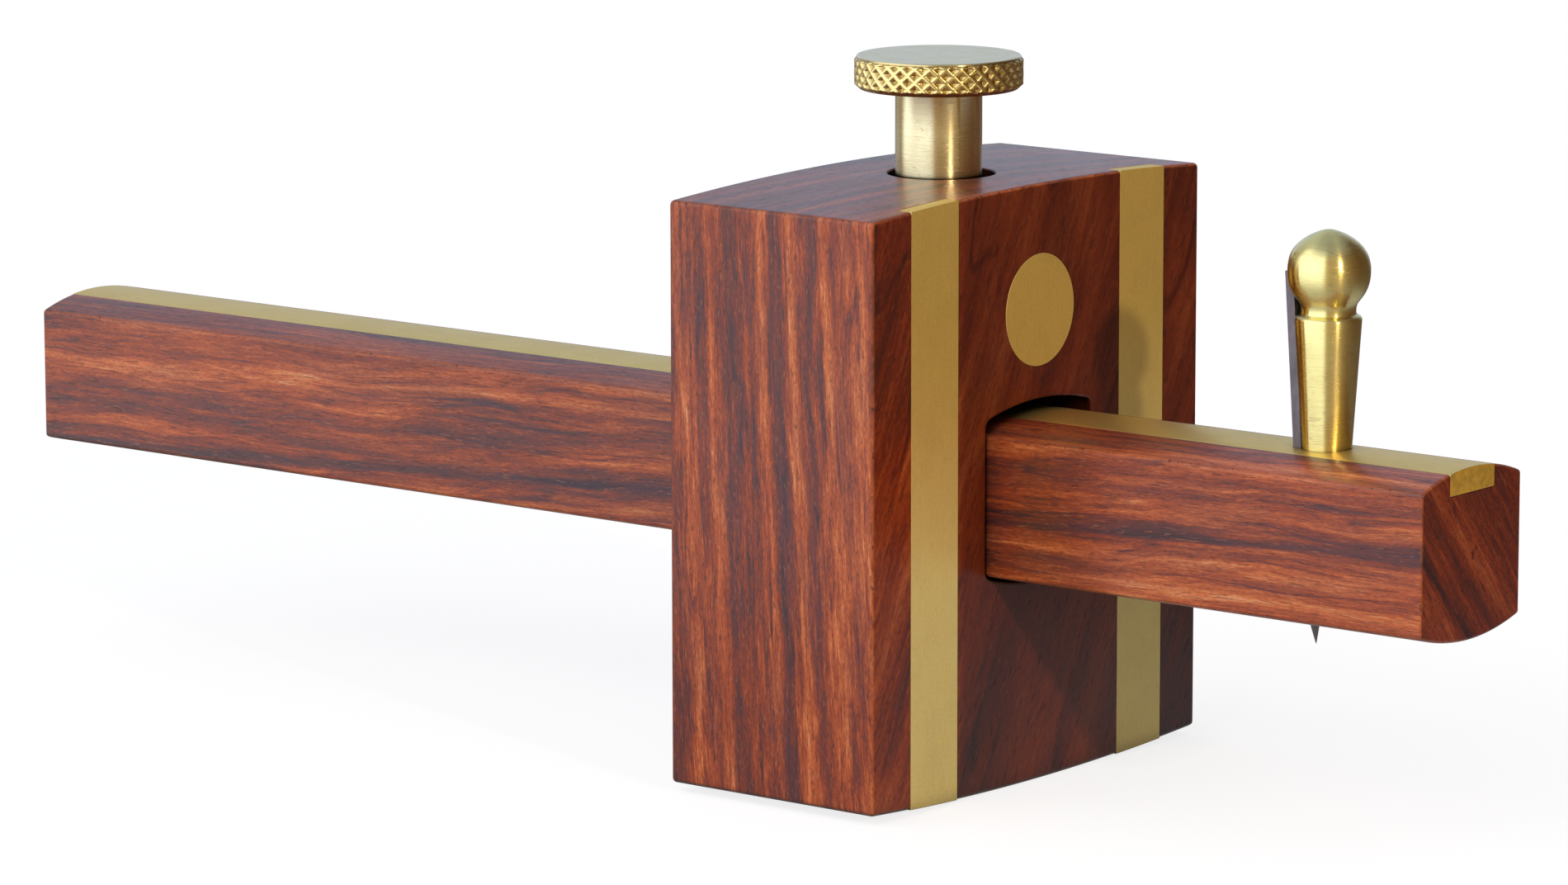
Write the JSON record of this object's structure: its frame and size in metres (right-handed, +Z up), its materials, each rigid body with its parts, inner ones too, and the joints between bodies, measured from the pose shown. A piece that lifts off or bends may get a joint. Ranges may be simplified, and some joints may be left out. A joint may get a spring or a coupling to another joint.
{
  "type": "marking gauge",
  "caption": "Sliding-stem marking gauge with an upright wooden stock, brass wear strips, a knurled clamping screw and a flat knife held by a brass wedge.",
  "frame": {"origin": "centre of the barrel nut's round end, flush in the stock's working face", "axes": "+X along the stem, out of the working face towards the knife end; +Z up, along the thumbscrew's axis towards its head; +Y across, completing a right-handed frame"},
  "size_m": [0.2121, 0.0634, 0.0846],
  "materials": {
    "rosewood_stock": "satin lacquered rosewood, grain upright, dark purple-brown streaks",
    "rosewood_stem": "satin lacquered rosewood, grain along the stem, dark purple-brown streaks",
    "brass_inlay": "brushed satin",
    "brass_turned": "turned, fine tool marks",
    "knife_steel": "dark hardened steel, ground edges"
  },
  "bodies": {
    "stock": {"stock": "rosewood_stock", "face_strip_left": "brass_inlay", "face_strip_right": "brass_inlay", "barrel_nut": "brass_inlay"},
    "pressure_pad": {"pressure_pad": "brass_turned"},
    "thumbscrew": {"thumbscrew": "brass_turned"},
    "stem": {"stem": "rosewood_stem", "stem_strip": "brass_inlay"},
    "wedge_pin": {"wedge_pin": "brass_turned"},
    "blade": {"blade": "knife_steel"}
  },
  "joints": [
    {"name": "stem_slide", "type": "slide", "parent": "stock", "child": "stem", "axis": [1, 0, 0], "range_m": [-0.034, 0.122]},
    {"name": "pad_travel", "type": "slide", "parent": "stock", "child": "pressure_pad", "axis": [0, 0, 1], "range_m": [0, 0.0025]},
    {"name": "screw_turn", "type": "hinge", "parent": "pressure_pad", "child": "thumbscrew", "pos_m": [-0.0149, 0, 0], "axis": [0, 0, 1], "range_deg": [0, 720]},
    {"name": "wedge_lift", "type": "slide", "parent": "stem", "child": "wedge_pin", "axis": [0, 0, 1], "range_m": [0, 0.014]},
    {"name": "blade_slide", "type": "slide", "parent": "stem", "child": "blade", "axis": [-0.0685, 0, 0.9976], "range_m": [-0.002, 0.014]}
  ],
  "couplings": [
    {"joint": "screw_turn", "follows": "pad_travel", "rad_per_m": 5026.5}
  ]
}
